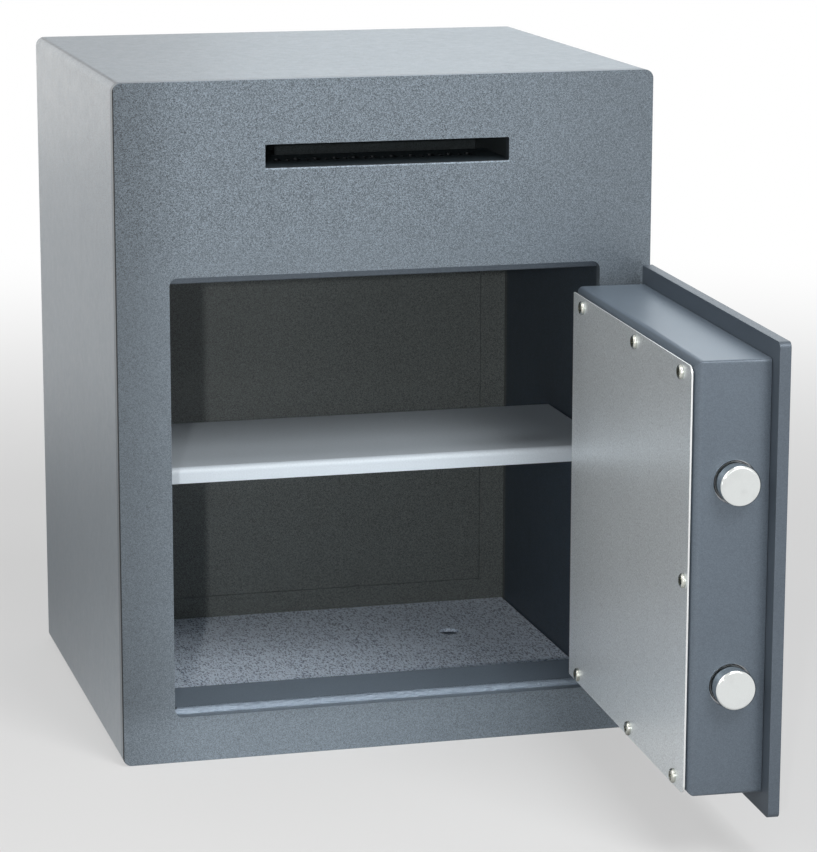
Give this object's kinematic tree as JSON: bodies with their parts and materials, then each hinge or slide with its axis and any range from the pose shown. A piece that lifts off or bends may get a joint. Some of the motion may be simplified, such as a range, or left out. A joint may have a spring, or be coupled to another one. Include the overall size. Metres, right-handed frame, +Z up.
{
  "type": "drop safe",
  "caption": "Steel drop safe with a letter slot and chute above a thick hinged door, with round bolts, a key lock and a turning handle, a shelf and a floor mat.",
  "frame": {"origin": "centre of the cabinet's base, on the floor that it stands on", "axes": "+Z up, +Y from the front of the safe to its back, +X to the right as seen from the front; the door is hinged on the right and stands open"},
  "size_m": [0.4186, 0.6869, 0.5],
  "materials": {
    "paint": "blue-grey powder coat with a fine metallic fleck",
    "inner_paint": "dark grey powder coat",
    "cover_paint": "light grey satin paint",
    "shelf_paint": "pale grey paint",
    "chrome": "polished plating",
    "zinc": "bright zinc plate",
    "steel": "plain bright steel",
    "felt": "grey needle felt"
  },
  "bodies": {
    "cabinet": {"body_wrap": "paint", "back_panel": "paint", "front_panel": "paint", "sill_channel": "paint", "stop_angle": "inner_paint", "strike_bar": "inner_paint", "shelf": "shelf_paint", "shelf_bracket_left": "inner_paint", "shelf_bracket_right": "inner_paint", "floor_mat": "felt", "chute_ledge": "inner_paint", "chute_back": "inner_paint", "chute_ramp": "inner_paint", "chute_cheek_left": "inner_paint", "chute_cheek_right": "inner_paint", "hinge_bracket_upper": "inner_paint", "hinge_pin_upper": "steel", "hinge_bracket_lower": "inner_paint", "hinge_pin_lower": "steel"},
    "door": {"door_plate": "paint", "door_box": "paint", "door_cover": "cover_paint", "bolt_guide": "steel", "lock_case": "steel", "handle_rose": "chrome", "keyhole_rose": "chrome", "hinge_arm_upper": "inner_paint", "hinge_arm_lower": "inner_paint", "cover_screw_1": "zinc", "cover_screw_2": "zinc", "cover_screw_3": "zinc", "cover_screw_4": "zinc", "cover_screw_5": "zinc", "cover_screw_6": "zinc", "cover_screw_7": "zinc"},
    "boltwork": {"bolt_bar": "steel", "bolt_upper": "chrome", "bolt_nut_upper": "zinc", "bolt_lower": "chrome", "bolt_nut_lower": "zinc"},
    "handle_set": {"handle": "chrome", "handle_spindle": "steel", "bolt_cam": "steel"},
    "lock": {"lock_bolt": "zinc"}
  },
  "joints": [
    {"name": "door_hinge", "type": "hinge", "parent": "cabinet", "child": "door", "pos_m": [0.183, -0.1645, 0.25], "axis": [0, 0, 1], "range_deg": [-87.5, 5]},
    {"name": "handle_turn", "type": "hinge", "parent": "door", "child": "handle_set", "pos_m": [0.18924, -0.37697, 0.19465], "axis": [0.999, -0.0436, 0], "range_deg": [0, 60]},
    {"name": "bolt_throw", "type": "slide", "parent": "door", "child": "boltwork", "axis": [-0.0436, -0.999, 0], "range_m": [0, 0.018]},
    {"name": "lock_slide", "type": "slide", "parent": "door", "child": "lock", "axis": [0, 0, -1], "range_m": [0, 0.009]}
  ],
  "couplings": [
    {"joint": "bolt_throw", "follows": "handle_turn", "m_per_rad": 0.017189}
  ]
}
